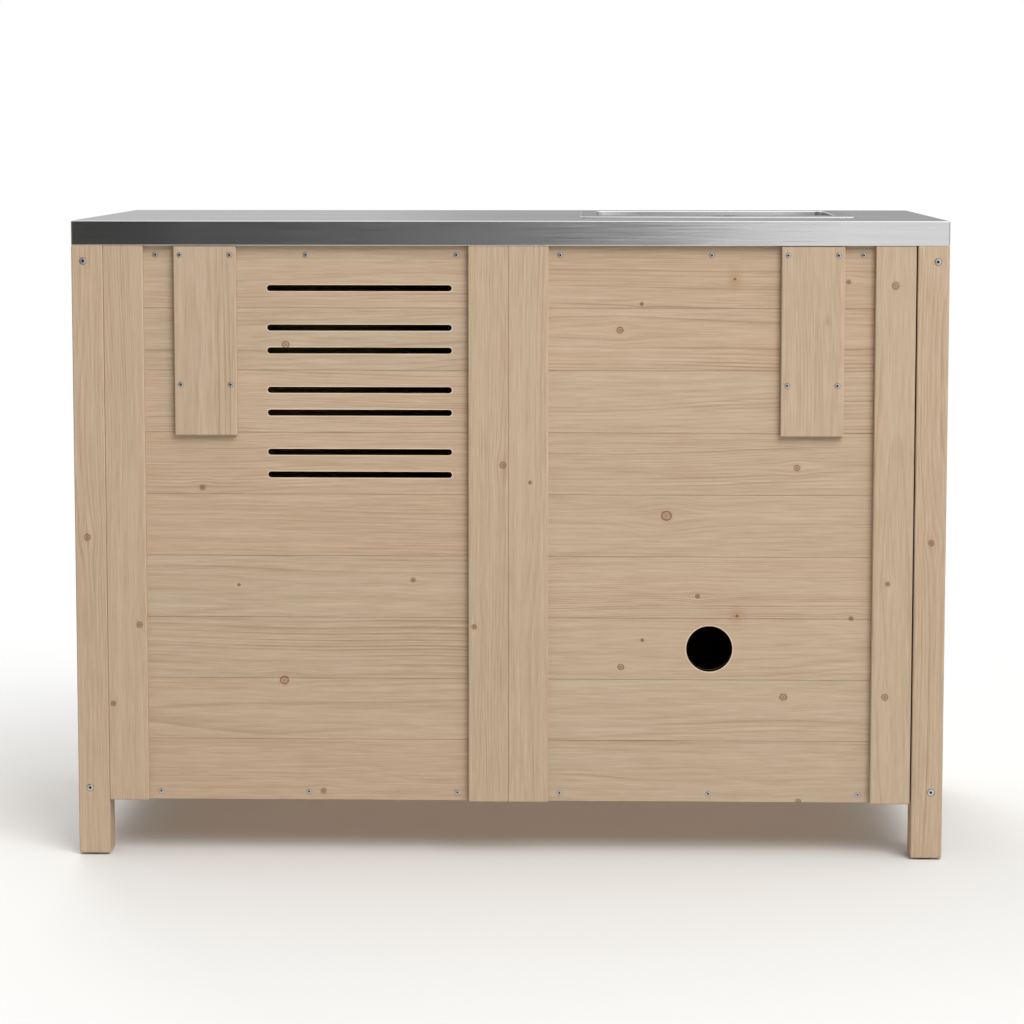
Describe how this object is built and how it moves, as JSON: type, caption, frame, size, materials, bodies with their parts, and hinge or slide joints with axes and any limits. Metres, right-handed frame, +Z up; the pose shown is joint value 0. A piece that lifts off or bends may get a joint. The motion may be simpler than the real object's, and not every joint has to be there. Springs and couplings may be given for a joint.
{
  "type": "outdoor sink cabinet",
  "caption": "Freestanding softwood cabinet on corner posts with a folded steel worktop, an inset sink bowl with waste and trap, a boarded back with vents, and hinged doors.",
  "frame": {"origin": "middle of the footprint on the ground", "axes": "+Z up; the doors face -Y and the boarded back faces +Y; the sink is towards -X"},
  "size_m": [1.2, 0.6, 0.886],
  "materials": {
    "wood": "edge-glued knotty spruce, planed, unfinished or clear-oiled",
    "brushed_steel": "stainless steel sheet, brushed along the worktop",
    "fittings": "satin nickel or zinc fittings",
    "drain_plastic": "white polypropylene drain fittings",
    "dark_plastic": "dark moulded plastic",
    "seal_rubber": "black foam and rubber seals"
  },
  "bodies": {
    "cabinet": {"post_rear_left": "wood", "post_rear_right": "wood", "post_front_left": "wood", "post_front_right": "wood", "foot_glides": "dark_plastic", "side_rail_top_left": "wood", "side_rail_bottom_left": "wood", "side_rail_top_right": "wood", "side_rail_bottom_right": "wood", "side_panel_left": "wood", "side_panel_right": "wood", "rear_rail_top": "wood", "rear_rail_bottom": "wood", "front_rail_top": "wood", "front_rail_bottom": "wood", "front_mullion": "wood", "centre_partition": "wood", "floor_board": "wood", "rear_stile_left_outer": "wood", "rear_stile_left_inner": "wood", "rear_stile_right_inner": "wood", "rear_stile_right_outer": "wood", "rear_panel_drain": "wood", "rear_panel_vented": "wood", "cleat_left": "wood", "cleat_right": "wood", "worktop_skin": "brushed_steel", "worktop_core": "wood", "sink_bowl": "brushed_steel", "sink_seal": "seal_rubber", "sink_clips": "fittings", "strainer_body": "fittings", "strainer_washer": "seal_rubber", "strainer_nut": "drain_plastic", "overflow_grille": "fittings", "overflow_pipe": "drain_plastic", "trap_tail_pipe": "drain_plastic", "trap_bottle": "drain_plastic", "trap_cup": "drain_plastic", "trap_outlet_pipe": "drain_plastic", "trap_nuts": "drain_plastic", "hinge_post_leaves": "fittings", "hinge_pins": "fittings", "magnet_catches": "dark_plastic", "panel_screws": "fittings", "cleat_screws": "fittings", "post_screws": "fittings"},
    "door_left": {"door_left_hinge_stile": "wood", "door_left_free_stile": "wood", "door_left_panel": "wood", "door_left_handle": "fittings", "hinge_leaves_left": "fittings", "strike_plate_left": "fittings"},
    "door_right": {"door_right_hinge_stile": "wood", "door_right_free_stile": "wood", "door_right_panel": "wood", "door_right_handle": "fittings", "hinge_leaves_right": "fittings", "strike_plate_right": "fittings"},
    "basket": {"strainer_basket": "fittings"}
  },
  "joints": [
    {"name": "door_left_hinge", "type": "hinge", "parent": "cabinet", "child": "door_left", "pos_m": [-0.556, -0.2634, 0.4625], "axis": [0, 0, -1], "range_deg": [0, 170]},
    {"name": "door_right_hinge", "type": "hinge", "parent": "cabinet", "child": "door_right", "pos_m": [0.556, -0.2634, 0.4625], "axis": [0, 0, 1], "range_deg": [0, 170]},
    {"name": "basket_lift", "type": "slide", "parent": "cabinet", "child": "basket", "axis": [0, 0, 1], "range_m": [0, 0.08]}
  ]
}
